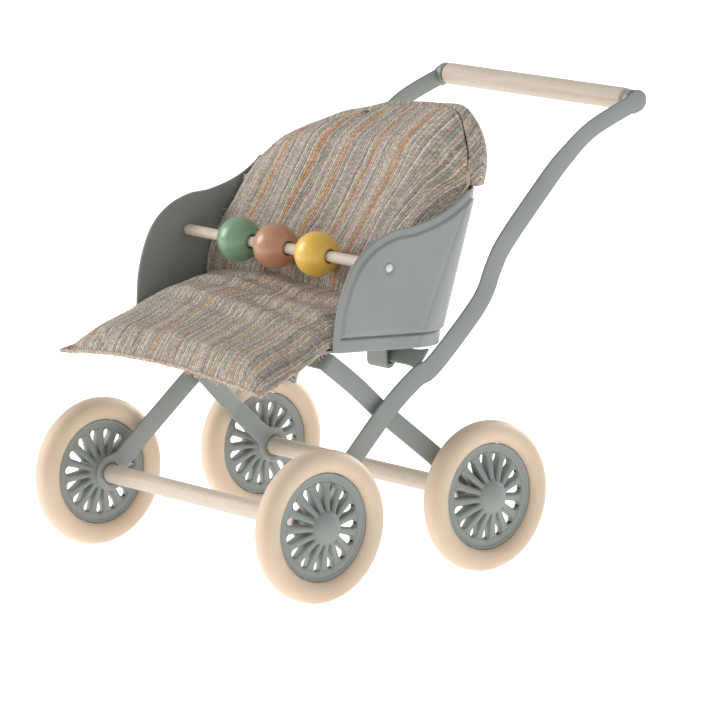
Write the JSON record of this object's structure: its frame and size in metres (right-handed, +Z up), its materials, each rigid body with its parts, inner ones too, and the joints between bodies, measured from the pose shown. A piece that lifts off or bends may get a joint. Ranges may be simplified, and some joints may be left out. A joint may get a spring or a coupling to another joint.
{
  "type": "doll stroller",
  "caption": "Doll stroller with a bucket seat on crossed flat strips, spoked wheels with soft tyres, a wooden push grip, a play bar with sliding beads and striped cushions.",
  "frame": {"origin": "on the floor under the middle of the overall box", "axes": "+Z up; the stroller's front faces -Y, so the push grip is at +Y; +X is the seated doll's left, and the _right pieces are at +X, the right-hand side of somebody facing the front of the toy; the wheels, the grip and the play bar turn about X"},
  "size_m": [0.105, 0.1397, 0.1208],
  "materials": {
    "frame_paint": "satin",
    "steel_wire": "satin",
    "pale_wood": "matt",
    "tyre": "matt",
    "stripe_fabric": "matt",
    "bead_green": "satin",
    "bead_brown": "satin",
    "bead_yellow": "satin",
    "pin_white": "satin"
  },
  "bodies": {
    "frame": {"handle_strip_right": "frame_paint", "handle_strip_left": "frame_paint", "leg_strip_right": "frame_paint", "leg_strip_left": "frame_paint", "front_axle_dowel": "pale_wood", "front_axle_wire": "steel_wire", "rear_axle_dowel": "pale_wood", "rear_axle_wire": "steel_wire", "grip_wire": "steel_wire", "grip_washer_right": "frame_paint", "grip_washer_left": "frame_paint", "seat_shell": "frame_paint", "seat_pan": "frame_paint", "seat_clip_right": "frame_paint", "seat_clip_left": "frame_paint", "seat_cushion": "stripe_fabric", "back_cushion": "stripe_fabric", "back_hood": "stripe_fabric"},
    "grip": {"push_grip": "pale_wood"},
    "play_bar": {"play_bar": "pale_wood", "play_bar_pin_right": "pin_white", "play_bar_pin_left": "pin_white"},
    "bead_green": {"bead_green": "bead_green"},
    "bead_brown": {"bead_brown": "bead_brown"},
    "bead_yellow": {"bead_yellow": "bead_yellow"},
    "wheel_front_right": {"tyre_front_right": "tyre", "hub_disc_front_right": "frame_paint", "hub_cap_front_right": "frame_paint"},
    "wheel_front_left": {"tyre_front_left": "tyre", "hub_disc_front_left": "frame_paint", "hub_cap_front_left": "frame_paint"},
    "wheel_rear_right": {"tyre_rear_right": "tyre", "hub_disc_rear_right": "frame_paint", "hub_cap_rear_right": "frame_paint"},
    "wheel_rear_left": {"tyre_rear_left": "tyre", "hub_disc_rear_left": "frame_paint", "hub_cap_rear_left": "frame_paint"}
  },
  "joints": [
    {"name": "wheel_front_right_spin", "type": "hinge", "parent": "frame", "child": "wheel_front_right", "pos_m": [0.0476, -0.04992, 0.02], "axis": [1, 0, 0], "continuous": true},
    {"name": "wheel_front_left_spin", "type": "hinge", "parent": "frame", "child": "wheel_front_left", "pos_m": [-0.0476, -0.04992, 0.02], "axis": [1, 0, 0], "continuous": true},
    {"name": "wheel_rear_right_spin", "type": "hinge", "parent": "frame", "child": "wheel_rear_right", "pos_m": [0.0476, 0.00577, 0.02], "axis": [1, 0, 0], "continuous": true},
    {"name": "wheel_rear_left_spin", "type": "hinge", "parent": "frame", "child": "wheel_rear_left", "pos_m": [-0.0476, 0.00577, 0.02], "axis": [1, 0, 0], "continuous": true},
    {"name": "grip_turn", "type": "hinge", "parent": "frame", "child": "grip", "pos_m": [0, 0.06582, 0.1179], "axis": [1, 0, 0], "continuous": true},
    {"name": "play_bar_turn", "type": "hinge", "parent": "frame", "child": "play_bar", "pos_m": [0, -0.02283, 0.0834], "axis": [1, 0, 0], "continuous": true},
    {"name": "bead_green_slide", "type": "slide", "parent": "play_bar", "child": "bead_green", "axis": [1, 0, 0], "range_m": [-0.0168, 0.0019]},
    {"name": "bead_brown_slide", "type": "slide", "parent": "play_bar", "child": "bead_brown", "axis": [1, 0, 0], "range_m": [-0.0019, 0.0029]},
    {"name": "bead_yellow_slide", "type": "slide", "parent": "play_bar", "child": "bead_yellow", "axis": [1, 0, 0], "range_m": [-0.0029, 0.0216]}
  ]
}
